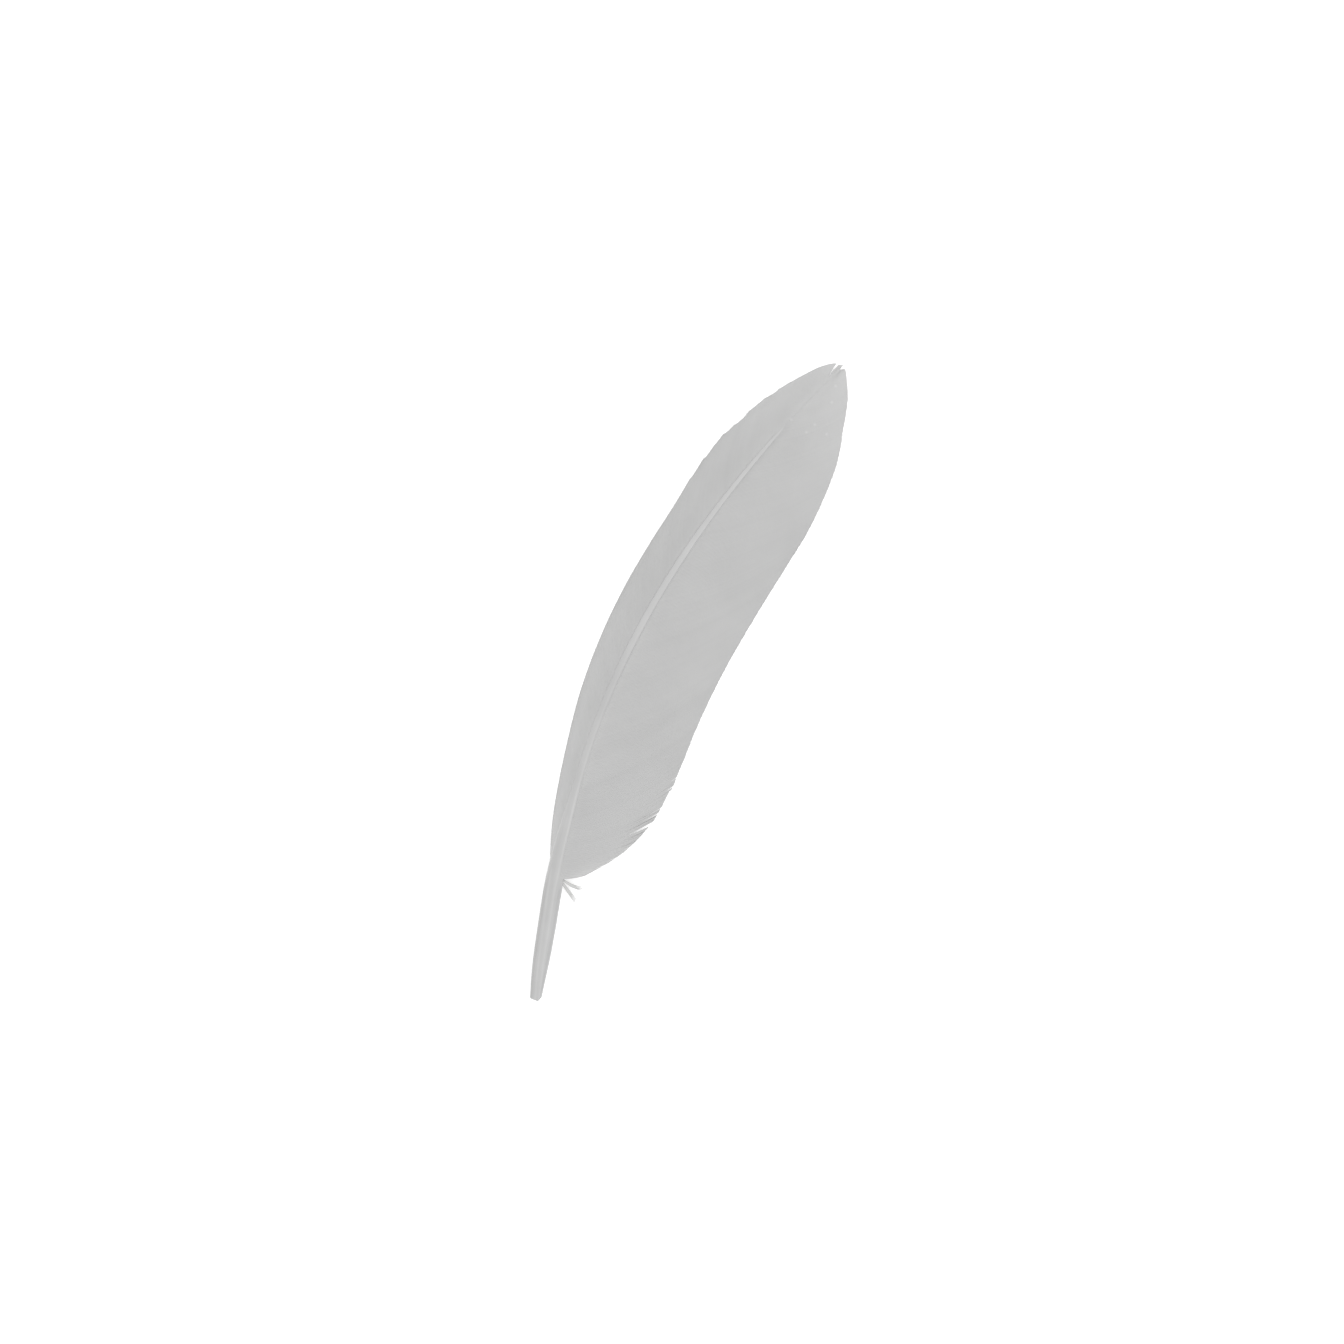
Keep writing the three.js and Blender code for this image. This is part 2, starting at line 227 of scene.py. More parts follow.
def shape_section(along, across, up):
    """Turns the plain rod's round section into the quill's ribbed one and the rachis's grooved one."""
    width = shaft_width(along)
    depth = shaft_depth(along)
    angle = np.arctan2(up / depth, across / width)
    outer = np.hypot(across / width, up / depth) * 2 > OUTER_FROM
    rachis = rachis_share(along)
    squarer = 1 / (np.abs(np.cos(angle))**4 + np.abs(np.sin(angle))**4)**0.25
    swell = 1 + (squarer - 1) * SQUARENESS * rachis
    from_below = np.abs(np.angle(np.exp(1j * (angle + math.pi / 2))))
    groove = GROOVE_DEPTH_RATIO * rachis * ease(from_below, GROOVE_HALF_ANGLE, 0)
    facets = FACET_HEIGHT * np.sin(FACETS * angle + np.sin(along / 9)) * (1 - rachis)
    across = np.where(outer, across * swell, across)
    from_rib = across - smooth_run(RIB_PLACES, along)[..., 0]
    from_crest = across - smooth_run(CREST_PLACES, along)[..., 0]
    rib = np.exp(-(from_rib / RIB_BREADTH)**2) * (1 - ease(along, *RIB_FADES)) * (up > 0)
    crest = np.exp(-(from_crest / RIB_BREADTH)**2) * (up > 0)
    ribs = rib + crest * (1 - ease(along, *CREST_FADES))
    raised = RIB_HEIGHT * ribs * ease(along, *RIBS_RISE) + facets
    up = np.where(outer, up * swell * (1 - groove) + raised * np.sin(angle), up)
    # Painted shade down the flanks, and painted highlights along the crest and rib
    flank = ease(np.abs(across / width), *FLANK_SHARES) * (1 - ease(along, *FLANK_FADES))
    pale = smooth_run(BACK_TONES, along)[..., 0] + smooth_run(CREST_PAINTED_HIGHLIGHTS, along)[..., 0] * crest
    pale = np.where(outer, pale + RIB_PAINTED_HIGHLIGHT * rib + FLANK_PAINTED_SHADE * flank, HOLLOW_TONE)
    return across, up, pale


def lay_along_shaft(rod):
    """Bows and arches a straight rod, and keeps its straight places for its finish to follow."""
    straight = np.empty(len(rod.data.vertices) * 3)
    rod.data.vertices.foreach_get("co", straight)
    along, across, up = straight.reshape(-1, 3).T / MM
    across, up, pale = shape_section(along, across, up)
    straight = np.stack([along, across, up], axis=1)
    rod.data.attributes.new("straight", "FLOAT_VECTOR", "POINT").data.foreach_set("vector", straight.ravel())
    rod.data.attributes.new("pale", "FLOAT", "POINT").data.foreach_set("value", pale)
    heading = shaft_heading(along)
    x, y = shaft_place(along)
    cut = np.interp(across, CUT_ACROSS, CUT_ALONG) * (1 - ease(along, 0, CUT_FADES_BY))
    placed = np.stack([x - across * np.sin(heading) + cut * np.cos(heading),
                       y + across * np.cos(heading) + cut * np.sin(heading),
                       shaft_height(along) + up], axis=1) + quill_end
    rod.data.vertices.foreach_set("co", (placed * MM).ravel())
    rod.data.update()


def add_node(tree, kind, inputs=None, **settings):
    """Adds a shader node. Each input is a value or another node's output."""
    made = tree.nodes.new("ShaderNode" + kind)
    for name, value in settings.items():
        setattr(made, name, value)
    for place, value in (inputs or {}).items():
        if isinstance(value, bpy.types.NodeSocket):
            tree.links.new(value, made.inputs[place])
        else:
            made.inputs[place].default_value = value
    return made


def new_finish(name):
    """A node material with only its Principled shader and output."""
    finish = bpy.data.materials.new(name)
    finish.use_nodes = True
    return finish, finish.node_tree, finish.node_tree.nodes["Principled BSDF"]


def horn_finish():
    """Pale satin horn, streaked lengthwise, with painted highlights on ribs and painted shade on flanks."""
    finish, tree, shader = new_finish("pale_horn")
    straight = add_node(tree, "Attribute", attribute_name="straight")
    pale = add_node(tree, "Attribute", attribute_name="pale")
    drawn_out = add_node(tree, "Mapping", {"Vector": straight.outputs["Vector"], "Scale": (0.05, 3.2, 3.2)})
    streaks = add_node(tree, "TexNoise", {"Vector": drawn_out.outputs[0], "Scale": 1.0, "Detail": 4.0})
    blotches = add_node(tree, "TexNoise", {"Vector": straight.outputs["Vector"], "Scale": 0.22,
                                           "Detail": 2.0})
    mottle = add_node(tree, "Math", {0: streaks.outputs[0], 1: blotches.outputs[0]}, operation="ADD")
    horn = add_node(tree, "MapRange", {"Value": mottle.outputs[0], "From Min": 0.7, "From Max": 1.3,
                                       "To Min": -0.14, "To Max": 0.14})
    tone = add_node(tree, "Math", {0: pale.outputs["Fac"], 1: horn.outputs[0]}, operation="ADD",
                    use_clamp=True)
    colour = add_node(tree, "Mix", {0: tone.outputs[0], 6: (0.4, 0.4, 0.399, 1), 7: (0.52, 0.52, 0.518, 1)},
                      data_type="RGBA")
    satin = add_node(tree, "MapRange", {"Value": streaks.outputs[0], "From Min": 0.3, "From Max": 0.7,
                                        "To Min": 0.34, "To Max": 0.5})
    relief = add_node(tree, "Bump", {"Height": streaks.outputs[0], "Strength": 0.25, "Distance": 0.00004})
    tree.links.new(colour.outputs[2], shader.inputs["Base Color"])
    tree.links.new(satin.outputs[0], shader.inputs["Roughness"])
    tree.links.new(relief.outputs[0], shader.inputs["Normal"])
    shader.inputs["Specular IOR Level"].default_value = 0.4
    return finish


shaft = draw_rod("shaft", shaft_rings())
lay_along_shaft(shaft)
bpy.ops.object.shade_smooth_by_angle(angle=math.radians(50))
shaft.data.materials.append(horn_finish())
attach(shaft, "root")
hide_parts("feather")

# The vanes
# A row of some three hundred barbs grows from each flank of the rachis. Each barb is a slim beam with a
# web of barbules on both sides, which hooks onto the next one's. Where the webs have come apart the vane
# is split or frayed. Guides give where along the shaft a barb grows, and the place of its tip.

LEADING_GUIDES = [[26, 27.6, 9.7], [27.5, 29, 10.6], [30, 31.8, 11.8], [34.5, 36.5, 13.6], [41, 44, 15.8],
                  [47.5, 53, 18], [55, 63, 20], [64, 75, 21.2], [74.5, 87, 21.3], [84.5, 98, 20.5],
                  [93, 107, 19.4], [101, 116, 18.35], [108, 124, 16.85], [118, 132.05, 13.6],
                  [129, 140.1, 9.6], [138.5, 146.1, 5.7], [145, 148.95, 3.2], [148.5, 150.2, 1.35],
                  [149.8, 150.2, 0.75], [153, 150.5, -0.2]]
TRAILING_GUIDES = [[26, 28, 1.8], [27.5, 33.5, -2], [29.5, 39, -4.6], [33, 46, -6.1], [38, 56, -6.4],
                   [46, 68, -5.8], [56, 80, -5.8], [67, 92, -6.6], [80, 105, -7.9], [92, 115, -8.9],
                   [105, 125, -8.8], [116, 132, -7.95], [126, 138, -6.2], [137, 144, -4.35],
                   [145.5, 148, -2.2], [149.3, 149.85, -0.9], [151.2, 149.65, -0.4], [153, 149.35, 0.05]]
VANE_STARTS = 26
VANE_ENDS = 153
BARBS = 317
POINTS_ALONG_BARB = 24
BARB_BULGE = 0.1
EDGE_HEIGHT = 0.15
TOUCHES_DOWN_AT = 0.86
CAMBER_POWER = 1.6
FLATTENS_OVER = 0.5
STEEPEST_FALL = 0.9
ROOT_ANGLES = [[26, 60], [60, 54], [76, 40], [VANE_ENDS, 40]]
SHAFT_COVERED_FROM = 132
SHAFT_COVERED_BY = 138
COVER_HEIGHTS = [[SHAFT_COVERED_FROM, 0], [SHAFT_COVERED_BY, 0.2], [144, 0.12], [VANE_ENDS, 0.04]]
ROOTS_CROSS_BY = 0.12
SWELL_HEIGHT = 0.03
VANE_LOWEST = 0.005

# How uneven the barbs are: the longest one's length and how much shorter others are, as shares of the
# guides' length, how far they wander along the shaft, the web they lose, and how much they thin out
LONGEST_REACH = 1.003
SHORTER_BY = 0.008
WANDER = 0.012
LOST_WEB = 0.06
THINS_BY = 0.45

# How much the tone varies in streaks of several barbs, from barb to barb, and where a barb has lost more
# than FRAYED_FROM of its web. Frayed barbs are made paler by painted light, which stands in for light
# through the thin loose barbs and lifts the shade in the slits between their clumps
BARBS_IN_A_STREAK = 9
STREAK_TONE = 0.012
BARB_TONE = 0.012
FRAYED_FROM = 0.12
FRAYED_PAINTED_LIGHT = 0.6

# How pale the vanes are, from 0 to 1, how much paler they are towards their tip, and how suddenly
VANE_TONE = 0.4
TIP_TONE = 0.33
TIP_TONE_POWER = 2.2

# The barbules: how far apart they stand, how far out along the barb each leans over the whole way to the
# next barb, and how much they show in the tone
BARBULE_PITCH = 0.11
BARBULE_LEAN = 0.252
BARBULE_TONE = 0.022

# How much paler, or darker where it is below 0, the vanes are at their foot and close beside the shaft.
# The darker foot is painted shade. Beside the shaft the paler bases are partly the barbs' own colour and
# partly painted light that cancels shade there; the darker stretch from 120 to 134 on the trailing side is
# painted shade in the crease beside the shaft.
FOOT_PAINTED_SHADE = -0.07
FOOT_TONE_FADES = (42, 62)
LEADING_ROOT_TONES_AND_PAINTED_LIGHT = [[26, 0.1], [104, 0.12], [126, 0.03], [139, 0.03], [147, 0.06], [VANE_ENDS, 0.22]]
TRAILING_ROOT_TONES_AND_PAINTED_SHADING = [[26, 0.04], [104, 0.03], [120, -0.06], [134, -0.12], [139, 0], [147, 0.04],
                       [VANE_ENDS, 0.16]]

# A barb's section, from the web's edge nearer the quill over the beam to its other edge and back below:
# the share of the way to the next barb, and the height over the web
BARB_SECTION = [(-0.6, -0.035), (-0.22, 0), (0, 0.035), (0.22, 0), (0.6, -0.01), (0.6, -0.05), (0, -0.12),
                (-0.6, -0.075)]

# Where a vane has split: its place along the shaft, the share of the barb where the split begins, how far
# its lips move towards the quill and towards the tip, how far off it is still felt, and how much they lift
LEADING_SPLITS = [(35.1, 0.86, 0.1, 0.12, 2, 0.1), (103.4, 0.88, 0.1, 0.04, 2, 0.1),
                  (117.3, 0.9, 0.14, 0.04, 2, 0.1), (149.2, 0.1, 0.62, 0.62, 1.2, 0)]
TRAILING_SPLITS = [(31.9, 0.62, 0.25, 0.35, 2, 0.3), (37.4, 0.9, 0.08, 0.1, 2, 0.1),
                   (62.4, 0.93, 0.06, 0.06, 2, 0.1), (139.6, 0.92, 0.08, 0.08, 2, 0.1)]

# Frayed stretches, where barbs hang together in uneven clumps: from and to along the shaft, the share of
# the barb where the fraying begins, a clump's length along the shaft, and how tightly it draws together
LEADING_FRAYS = [(26, 30, 0.6, 0.9, 0.2)]
TRAILING_FRAYS = [(26, 30, 0.7, 1.0, 0.15), (32.2, 34.8, 0.72, 0.6, 0.15), (35.8, 36.8, 0.93, 0.5, 0.3)]

# Bulges in each edge, where barbs stand out past the rest: the place, the extra length, and how gradually
# it comes and goes on the side towards the quill and on the side towards the tip
LEADING_BULGES = [(98.7, 0.045, 3, 0.5), (103.2, 0.065, 2.2, 0.5), (106.7, 0.015, 1, 0.4),
                  (109.3, 0.05, 1.3, 0.7), (113.3, 0.025, 1.2, 0.4), (117.3, 0.055, 0.3, 8),
                  (122.9, 0.045, 4, 2.5), (127.6, 0.03, 0.3, 3), (130.6, 0.015, 0.3, 2)]
TRAILING_BULGES = [(31.9, 0.03, 0.3, 3), (36.2, 0.03, 0.3, 1.5)]

# Pale flecks on the vanes: place along the feather and across it
FLECKS = [(134, 0.7), (135.6, -3.4), (136.3, -0.2), (135, 4.8), (145.7, -0.6), (142.2, -1.4)]
FLECK_SIZE = 0.45


def split_spread(splits, barb, share):
    """How far each barb is pushed along the shaft at each share of its length, and lifted, by the splits."""
    pushed = np.zeros(np.broadcast(barb, share).shape)
    lifted = np.zeros_like(pushed)
    for place, begins, back, forward, felt, lift in splits:
        away = barb - place
        grip = ease(share, begins, 1) * np.exp(-np.abs(away) / felt)
        pushed += np.where(away > 0, forward, -back) * grip
        lifted += lift * grip
    return pushed, lifted


def fray_spread(frays, barb, share, chance):
    """How far each barb is drawn along the shaft to its clump's middle, and how much of its web is lost."""
    drawn = np.zeros(np.broadcast(barb, share).shape)
    lost = np.zeros_like(drawn)
    for start, end, begins, usual_length, tightness in frays:
        while start < end:
            length = usual_length * chance.uniform(0.4, 1.7)
            inside = (barb >= start) & (barb < start + length) & (barb < end)
            grip = ease(share, begins * chance.uniform(0.94, 1.04), 1.02) * inside
            drawn += (start + length / 2 - barb) * tightness * chance.uniform(0.5, 1.3) * grip
            lost += chance.uniform(0.1, 0.5) * grip
            start += length
    return drawn, lost


def soft_least(value, most, softness):
    """The lesser of a value and the most it may be, with a soft bend between the two."""
    mix = np.clip(0.5 + 0.5 * (most - value) / softness, 0, 1)
    return most + (value - most) * mix - softness * mix * (1 - mix)


def root_angle(along):
    """How far up the shaft's flank the barbs grow."""
    return np.radians(smooth_run(ROOT_ANGLES, along)[..., 0])


def vane_place(side, grown_at, share):
    """The place in plan and the height of the vane's web, for barbs that grow at a place on the shaft."""
    grown_at = np.clip(grown_at, VANE_STARTS, VANE_ENDS)
    root_x, root_y = shaft_place(grown_at)
    tip = smooth_run(side["guides"], grown_at)
    run_x, run_y = tip[..., 0] - root_x, tip[..., 1] - root_y
    hold_x = root_x + run_x / 2 - run_y * side["sign"] * BARB_BULGE
    hold_y = root_y + run_y / 2 + run_x * side["sign"] * BARB_BULGE
    rest = 1 - share
    x = rest**2 * root_x + 2 * rest * share * hold_x + share**2 * tip[..., 0]
    y = rest**2 * root_y + 2 * rest * share * hold_y + share**2 * tip[..., 1]
    root_up = shaft_height(grown_at) + shaft_depth(grown_at) / 2 * np.sin(root_angle(grown_at))
    root_up = root_up + smooth_run(COVER_HEIGHTS, grown_at)[..., 0]
    length = np.hypot(run_x, run_y)
    drop = soft_least(root_up - EDGE_HEIGHT, STEEPEST_FALL * length, FLATTENS_OVER)
    fall = soft_least(np.maximum(share / TOUCHES_DOWN_AT, 0)**CAMBER_POWER, 1, FLATTENS_OVER)
    waves = np.sin(grown_at / 6.1 + share * 2) + 0.6 * np.sin(grown_at / 2.7 - share * 3)
    swell = waves * ease(share, 0.1, 0.6) * (1 - ease(share, 0.7, 1))
    z = root_up - drop * fall + SWELL_HEIGHT * swell
    return x, y, z, length


def join_strips(name, strips, flipped):
    """One mesh of closed strips, from an array of strips, points along, corners and places."""
    count, length, corners, _ = strips.shape
    first = np.arange(count)[:, None, None] * length * corners
    ring = np.arange(length - 1)[None, :, None] * corners
    corner = np.arange(corners)[None, None, :]
    here = first + ring + corner
    beside = first + ring + (corner + 1) % corners
    walls = np.stack([here, beside, beside + corners, here + corners], axis=-1).reshape(-1, 4)
    around = np.arange(corners)
    root_caps = first[:, :, 0] + around[::-1]
    tip_caps = first[:, :, 0] + (length - 1) * corners + around
    faces = [*walls.tolist(), *root_caps.tolist(), *tip_caps.tolist()]
    if flipped:
        faces = [face[::-1] for face in faces]
    mesh = bpy.data.meshes.new(name)
    mesh.from_pydata(((strips.reshape(-1, 3) + quill_end) * MM).tolist(), [], faces)
    piece = bpy.data.objects.new(name, mesh)
    bpy.context.collection.objects.link(piece)
    return piece


def smooth_strips(piece):
    """Smooths the strips over their beams and keeps their thin edges sharp."""
    bpy.ops.object.select_all(action="DESELECT")
    piece.select_set(True)
    bpy.context.view_layer.objects.active = piece
    bpy.ops.object.shade_smooth_by_angle(angle=math.radians(60))


def grow_vane(name, side, seed):
    """Grows one vane, barb by barb, and keeps what its finish needs."""
    chance = np.random.default_rng(seed)
    pitch = (VANE_ENDS - VANE_STARTS) / (BARBS - 1)
    barb = np.linspace(VANE_STARTS, VANE_ENDS, BARBS)[:, None, None]
    step = np.linspace(0, 1, POINTS_ALONG_BARB)[None, :, None]
    to_next = np.array([place for place, _ in BARB_SECTION])[None, None, :]
    over_web = np.array([height for _, height in BARB_SECTION])[None, None, :]

    reach = LONGEST_REACH - SHORTER_BY * chance.random(BARBS)[:, None, None]
    for place, extra, comes, goes in side["bulges"]:
        past = barb - place
        reach = reach + extra * np.exp(-np.abs(past) / np.where(past < 0, comes, goes))
    length = vane_place(side, barb, 1.0)[3]
    bare = 1 - ease(barb, SHAFT_COVERED_FROM, SHAFT_COVERED_BY)
    off_middle = shaft_width(barb) / 2 * np.cos(root_angle(barb)) * bare - ROOTS_CROSS_BY * (1 - bare)
    root_share = off_middle / length
    share = root_share + (1 - root_share) * step * reach

    pushed, lifted = split_spread(side["splits"], barb, share)
    drawn, lost = fray_spread(side["frays"], barb, share, chance)
    wander = chance.normal(0, WANDER, BARBS)[:, None, None] * ease(share, 0.3, 1)
    lost = lost + LOST_WEB * chance.random(BARBS)[:, None, None] * ease(share, 0.6, 1)
    thinned = 1 - THINS_BY * ease(share, 0.3, 1)

    grown_at = barb + pushed + drawn + wander + to_next * (1 - lost) * pitch
    x, y, z, _ = vane_place(side, grown_at, share + 0 * to_next)
    lift_each = chance.random(BARBS)[:, None, None] * lifted
    z = np.maximum(z + over_web * thinned + lift_each, VANE_LOWEST)
    piece = join_strips(name, np.stack([x, y, z], axis=-1), side["sign"] < 0)

    several = np.ones(BARBS_IN_A_STREAK) / math.sqrt(BARBS_IN_A_STREAK)
    streak = np.convolve(chance.normal(0, 1, BARBS + BARBS_IN_A_STREAK - 1), several, "valid")[:, None, None]
    single = chance.normal(0, 1, BARBS)[:, None, None]
    # Frayed barbs get painted light
    frayed = np.clip(lost - FRAYED_FROM, 0, 0.6) * chance.random(BARBS)[:, None, None]
    # Painted shade darkens the foot
    foot = FOOT_PAINTED_SHADE * (1 - ease(barb, *FOOT_TONE_FADES))
    tones = STREAK_TONE * streak + BARB_TONE * single + foot + FRAYED_PAINTED_LIGHT * frayed + 0 * to_next
    # Beside the shaft: the bases' own paler colour plus painted light, and painted shade in the trailing
    # crease
    root_tones_and_painted_light = smooth_run(side["root_tones_and_painted_light"], barb)[..., 0]
    lie = np.stack(np.broadcast_arrays(to_next, share * length, root_tones_and_painted_light), axis=-1)
    piece.data.attributes.new("lie", "FLOAT_VECTOR", "POINT").data.foreach_set("vector", lie.ravel())
    piece.data.attributes.new("tone", "FLOAT", "POINT").data.foreach_set("value", tones.ravel())
    smooth_strips(piece)
    return piece


def vane_finish():
    """Soft matt grey, streaked barb by barb, hatched by barbules, with painted light and shade beside
    the shaft, and paler at the tip.
    """
    finish, tree, shader = new_finish("grey_vane")
    # The lie of each place: its share of the way to the next barb, its distance out from the shaft's middle,
    # and how much paler it is if it lies close beside the shaft, partly the barb bases' own colour and partly
    # painted light, with painted shade where it is below 0
    lie = add_node(tree, "Attribute", attribute_name="lie")
    across_along = add_node(tree, "SeparateXYZ", {0: lie.outputs["Vector"]})
    tone = add_node(tree, "Attribute", attribute_name="tone")
    spot = add_node(tree, "TexCoord")
    at = add_node(tree, "SeparateXYZ", {0: spot.outputs["Object"]})
    past_middle = add_node(tree, "MapRange", {"Value": at.outputs[0], "From Min": 0.02, "From Max": 0.075})
    steeper = add_node(tree, "Math", {0: past_middle.outputs[0], 1: TIP_TONE_POWER}, operation="POWER")
    towards_tip = add_node(tree, "Math", {0: steeper.outputs[0], 1: TIP_TONE}, operation="MULTIPLY")
    clouds = add_node(tree, "TexNoise", {"Vector": spot.outputs["Object"], "Scale": 90.0, "Detail": 3.0})
    cloudy = add_node(tree, "MapRange", {"Value": clouds.outputs[0], "From Min": 0.3, "From Max": 0.7,
                                         "To Min": -0.05, "To Max": 0.05})
    off_beam = add_node(tree, "Math", {0: across_along.outputs[0]}, operation="ABSOLUTE")
    beam = add_node(tree, "MapRange", {"Value": off_beam.outputs[0], "From Min": 0.0, "From Max": 0.25,
                                       "To Min": 0.035, "To Max": 0.0})
    slanted = add_node(tree, "Math", {0: off_beam.outputs[0], 1: -BARBULE_LEAN, 2: across_along.outputs[1]},
                       operation="MULTIPLY_ADD")
    hatch = add_node(tree, "Math", {0: slanted.outputs[0], 1: 2 * math.pi / BARBULE_PITCH},
                     operation="MULTIPLY")
    barbules = add_node(tree, "Math", {0: hatch.outputs[0]}, operation="SINE")
    hatched = add_node(tree, "Math", {0: barbules.outputs[0], 1: BARBULE_TONE}, operation="MULTIPLY")
    # Beside the shaft the barb bases' own paler colour is mixed with painted light, and painted shade below 0
    near_shaft = add_node(tree, "MapRange", {"Value": across_along.outputs[1], "From Min": 1.0,
                                             "From Max": 2.4, "To Min": 1.0, "To Max": 0.0})
    by_shaft = add_node(tree, "Math", {0: near_shaft.outputs[0], 1: across_along.outputs[2]},
                        operation="MULTIPLY")
    shade = tone.outputs["Fac"]
    for extra in (towards_tip, by_shaft, cloudy, beam, hatched):
        shade = add_node(tree, "Math", {0: shade, 1: extra.outputs[0]}, operation="ADD").outputs[0]
    in_plan = add_node(tree, "VectorMath", {0: spot.outputs["Object"], 1: (1, 1, 0)}, operation="MULTIPLY")
    for along, across in FLECKS:
        middle = ((quill_end[0] + along) * MM, (quill_end[1] + across) * MM, 0)
        off = add_node(tree, "VectorMath", {0: in_plan.outputs[0], 1: middle}, operation="DISTANCE")
        fleck = add_node(tree, "MapRange", {"Value": off.outputs["Value"], "From Min": 0, "To Min": 0.35,
                                            "From Max": FLECK_SIZE * MM, "To Max": 0})
        shade = add_node(tree, "Math", {0: shade, 1: fleck.outputs[0]}, operation="ADD").outputs[0]
    light_share = add_node(tree, "Math", {0: shade, 1: VANE_TONE}, operation="ADD", use_clamp=True)
    colour = add_node(tree, "Mix", {0: light_share.outputs[0], 6: (0.4, 0.4, 0.399, 1),
                                    7: (0.6, 0.6, 0.598, 1)}, data_type="RGBA")
    relief = add_node(tree, "Bump", {"Height": barbules.outputs[0], "Strength": 0.3, "Distance": 0.000008})
    tree.links.new(colour.outputs[2], shader.inputs["Base Color"])
    tree.links.new(relief.outputs[0], shader.inputs["Normal"])
    shader.inputs["Roughness"].default_value = 0.62
    shader.inputs["Specular IOR Level"].default_value = 0.3
    shader.inputs["Sheen Weight"].default_value = 0.12
    shader.inputs["Sheen Roughness"].default_value = 0.5
    return finish


LEADING = {"sign": 1, "guides": LEADING_GUIDES, "splits": LEADING_SPLITS, "frays": LEADING_FRAYS,
           "bulges": LEADING_BULGES, "root_tones_and_painted_light": LEADING_ROOT_TONES_AND_PAINTED_LIGHT}
TRAILING = {"sign": -1, "guides": TRAILING_GUIDES, "splits": TRAILING_SPLITS, "frays": TRAILING_FRAYS,
            "bulges": TRAILING_BULGES, "root_tones_and_painted_light": TRAILING_ROOT_TONES_AND_PAINTED_SHADING}
grey_vane = vane_finish()
for name, side, seed in (("leading_vane", LEADING, 11), ("trailing_vane", TRAILING, 23)):
    vane = grow_vane(name, side, seed)
    vane.data.materials.append(grey_vane)
    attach(vane, "root")
    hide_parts("feather")

# The loose barbs
# Two small locks of soft barbs at the foot of the trailing vane have lost their hold on the rest and hang
# back beside the quill. They have no hooks, so their barbules stand off them as short, fine hairs.

LOOSE_BARBS = [([25.6, 7.2], [24.3, 4.9], [22.2, 1.3]), ([25.8, 7.2], [24.6, 4.2], [25.1, 1.0])]
BARBS_IN_A_LOCK = 4
LOCK_SPREAD = 0.75
LOOSE_ROOT_HEIGHT = 2.6
LOOSE_TIP_HEIGHT = 0.25
LOOSE_HALF_WIDTHS = [0.08, 0.15, 0.14, 0.03]
LOOSE_HALF_DEPTHS = [0.08, 0.07, 0.06, 0.03]
LOOSE_POINTS = 20
LOOSE_ENDS_VARY = (-0.5, 0.3)
HAIRS_START = 1.2
HAIR_SPACING = 0.1
HAIR_LENGTHS = (0.2, 0.45)
HAIR_LEANS = (0.5, 0.9)
HAIR_CURLS = (-0.3, 0.5)
HAIR_RISES = (-0.3, 0.2)
HAIR_LOWEST = 0.05
HAIR_RADII = [0.022, 0.008]
HAIR_POINTS = 5
LOOSE_SEED = 5


def strand(places, half_widths, half_depths, corners):
    """A thin strand through places, as an array of points along, corners and places."""
    places = np.array(places)
    ahead = np.gradient(places, axis=0)
    ahead /= np.linalg.norm(ahead, axis=1, keepdims=True)
    side = np.cross(ahead, [0, 0, 1])
    side /= np.linalg.norm(side, axis=1, keepdims=True)
    over = np.cross(side, ahead)
    turn = np.linspace(0, 2 * math.pi, corners, endpoint=False)
    step = np.linspace(0, 1, len(places))
    wide = np.interp(step, np.linspace(0, 1, len(half_widths)), half_widths)[:, None, None]
    deep = np.interp(step, np.linspace(0, 1, len(half_depths)), half_depths)[:, None, None]
    return (places[:, None] + side[:, None] * wide * np.cos(turn)[None, :, None]
            + over[:, None] * deep * np.sin(turn)[None, :, None])


def lock_places(root, bend, tip, chance):
    """The lines of the barbs in a lock, which cling together at its root and spread towards its end."""
    root, bend, tip = np.array(root), np.array(bend), np.array(tip)
    share = np.linspace(0, 1, LOOSE_POINTS)[:, None]
    height = LOOSE_ROOT_HEIGHT + (LOOSE_TIP_HEIGHT - LOOSE_ROOT_HEIGHT) * share**CAMBER_POWER
    run = (tip - root) / np.linalg.norm(tip - root)
    sideways = np.array([-run[1], run[0]])
    lines = []
    for off in np.linspace(-LOCK_SPREAD / 2, LOCK_SPREAD / 2, BARBS_IN_A_LOCK):
        end = tip + sideways * off + run * chance.uniform(*LOOSE_ENDS_VARY)
        held = bend + sideways * off / 2
        plan = (1 - share)**2 * root + 2 * share * (1 - share) * held + share**2 * end
        lines.append(np.hstack([plan, height]))
    return lines


def hairs_of(places, chance):
    """The fine hairs that stand off both sides of a loose barb."""
    hairs = []
    run = np.append(0, np.cumsum(np.linalg.norm(np.diff(places, axis=0), axis=1)))
    for count, distance in enumerate(np.arange(HAIRS_START, run[-1], HAIR_SPACING)):
        start = np.array([np.interp(distance, run, places[:, axis]) for axis in range(3)])
        later = np.array([np.interp(distance + 0.2, run, places[:, axis]) for axis in range(3)])
        ahead = (later - start) / max(np.linalg.norm(later - start), 1e-6)
        sideways = np.array([-ahead[1], ahead[0], 0]) * (1 if count % 2 else -1)
        length = chance.uniform(*HAIR_LENGTHS)
        step = np.linspace(0, 1, HAIR_POINTS)[:, None] * length
        lean = chance.uniform(*HAIR_LEANS)
        curl = chance.uniform(*HAIR_CURLS)
        hair = start + step * (sideways * lean + ahead * (1 - lean)) + step**2 * (ahead * curl)
        hair[:, 2] = np.maximum(hair[:, 2] + chance.uniform(*HAIR_RISES) * step[:, 0], HAIR_LOWEST)
        hairs.append(strand(hair, HAIR_RADII, HAIR_RADII, 3))
    return hairs


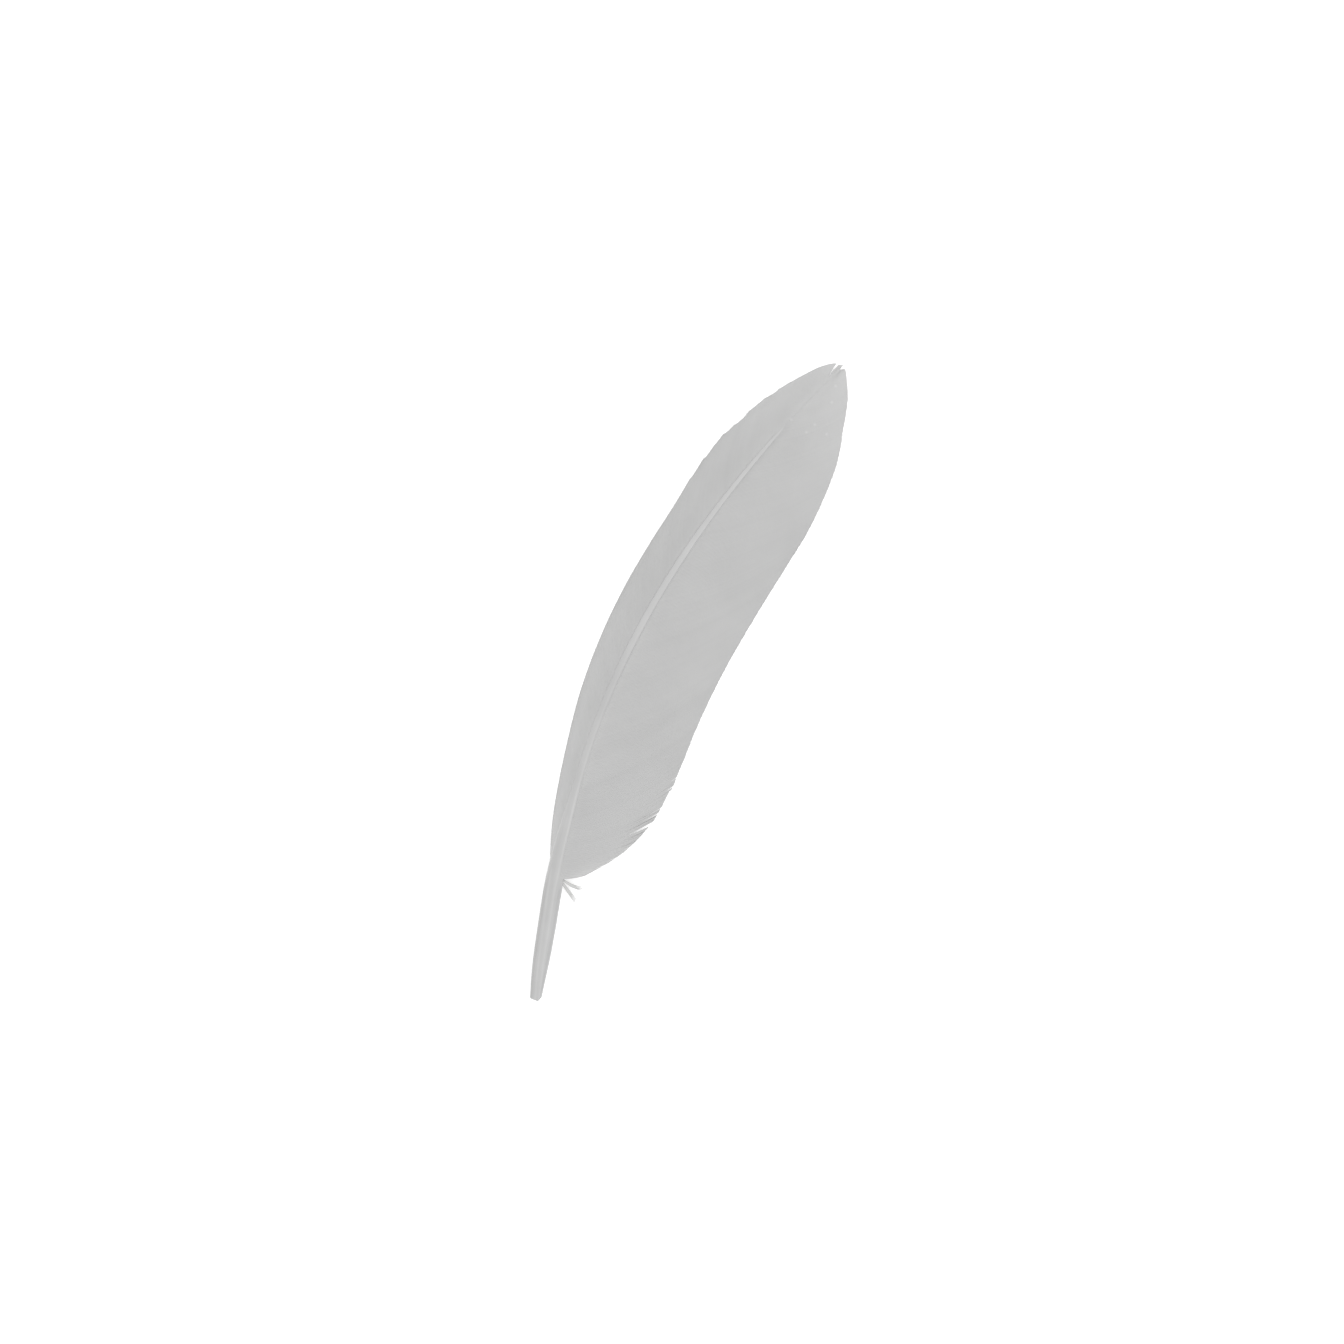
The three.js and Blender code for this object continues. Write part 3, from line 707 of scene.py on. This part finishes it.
def down_finish():
    """Pale silky down."""
    finish, tree, shader = new_finish("pale_down")
    spot = add_node(tree, "TexCoord")
    clouds = add_node(tree, "TexNoise", {"Vector": spot.outputs["Object"], "Scale": 600.0, "Detail": 2.0})
    colour = add_node(tree, "Mix", {0: clouds.outputs[0], 6: (0.5, 0.5, 0.495, 1), 7: (0.64, 0.64, 0.634, 1)},
                      data_type="RGBA")
    tree.links.new(colour.outputs[2], shader.inputs["Base Color"])
    shader.inputs["Roughness"].default_value = 0.7
    shader.inputs["Sheen Weight"].default_value = 0.2
    return finish


def join_pieces(name, pieces):
    """Joins pieces into one, as with Join on the object menu."""
    bpy.ops.object.select_all(action="DESELECT")
    for piece in pieces:
        piece.select_set(True)
    bpy.context.view_layer.objects.active = pieces[0]
    bpy.ops.object.join()
    pieces[0].name = pieces[0].data.name = name
    return pieces[0]


chance = np.random.default_rng(LOOSE_SEED)
barb_lines = [line for lock in LOOSE_BARBS for line in lock_places(*lock, chance)]
beams = np.array([strand(line, LOOSE_HALF_WIDTHS, LOOSE_HALF_DEPTHS, 8) for line in barb_lines])
hairs = np.array([hair for line in barb_lines for hair in hairs_of(line, chance)])
loose_barbs = join_pieces("loose_barbs", [join_strips("loose_beams", beams, True),
                                          join_strips("loose_hairs", hairs, True)])
bpy.ops.object.shade_smooth_by_angle(angle=math.radians(80))
loose_barbs.data.materials.append(down_finish())
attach(loose_barbs, "root")
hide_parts("feather")

# The studio
# A wide pale floor that glows a little, as on a light table, an even white sky, one large soft light from
# the trailing side, and a camera that looks straight down, turned so that the feather leans as photographed.

FLOOR_SIZE = 3.0
FLOOR_GLOW = 0.35
SKY_STRENGTH = 1.02
SOFT_LIGHT_AZIMUTH = -109
SOFT_LIGHT_ELEVATION = 70
SOFT_LIGHT_DISTANCE = 1.3
SOFT_LIGHT_SIZE = 0.9
SOFT_LIGHT_ENERGY = 2.6
FRAME_WIDTH = 0.287
LENS = 85
SENSOR = 36
LEAN_DEGREES = 64.1
FRAME_MIDDLE = (0.00042, -0.00205)
VANE_MIDDLE_HEIGHT = 0.002


def pale_floor_finish():
    finish, tree, shader = new_finish("pale_floor")
    spot = add_node(tree, "TexCoord")
    clouds = add_node(tree, "TexNoise", {"Vector": spot.outputs["Object"], "Scale": 3.0})
    colour = add_node(tree, "Mix", {0: clouds.outputs[0], 6: (0.9, 0.9, 0.9, 1), 7: (0.92, 0.92, 0.92, 1)},
                      data_type="RGBA")
    tree.links.new(colour.outputs[2], shader.inputs["Base Color"])
    shader.inputs["Roughness"].default_value = 0.9
    shader.inputs["Specular IOR Level"].default_value = 0.1
    shader.inputs["Emission Color"].default_value = (1, 1, 1, 1)
    shader.inputs["Emission Strength"].default_value = FLOOR_GLOW
    return finish


bpy.ops.object.select_all(action="DESELECT")
bpy.ops.mesh.primitive_plane_add(size=FLOOR_SIZE)
floor = bpy.context.object
floor.name = "floor"
floor.data.materials.append(pale_floor_finish())

sky = bpy.data.worlds.new("even_sky")
sky.use_nodes = True
sky.node_tree.nodes["Background"].inputs["Color"].default_value = (1, 1, 1, 1)
sky.node_tree.nodes["Background"].inputs["Strength"].default_value = SKY_STRENGTH
bpy.context.scene.world = sky

turned = math.radians(SOFT_LIGHT_AZIMUTH)
raised = math.radians(SOFT_LIGHT_ELEVATION)
bpy.ops.object.light_add(type="AREA", location=(
    SOFT_LIGHT_DISTANCE * math.cos(raised) * math.cos(turned),
    SOFT_LIGHT_DISTANCE * math.cos(raised) * math.sin(turned),
    SOFT_LIGHT_DISTANCE * math.sin(raised)))
soft_light = bpy.context.object
soft_light.name = "soft_light"
soft_light.rotation_euler = (math.pi / 2 - raised, 0, turned + math.pi / 2)
soft_light.data.size = SOFT_LIGHT_SIZE
soft_light.data.energy = SOFT_LIGHT_ENERGY

distance = FRAME_WIDTH * LENS / SENSOR
bpy.ops.object.camera_add(location=(*FRAME_MIDDLE, VANE_MIDDLE_HEIGHT + distance),
                          rotation=(0, 0, -math.radians(LEAN_DEGREES)))
camera = bpy.context.object
camera.data.lens = LENS
camera.data.sensor_width = SENSOR
camera.data.dof.use_dof = False
bpy.context.scene.camera = camera
bpy.context.scene.view_settings.view_transform = "Standard"
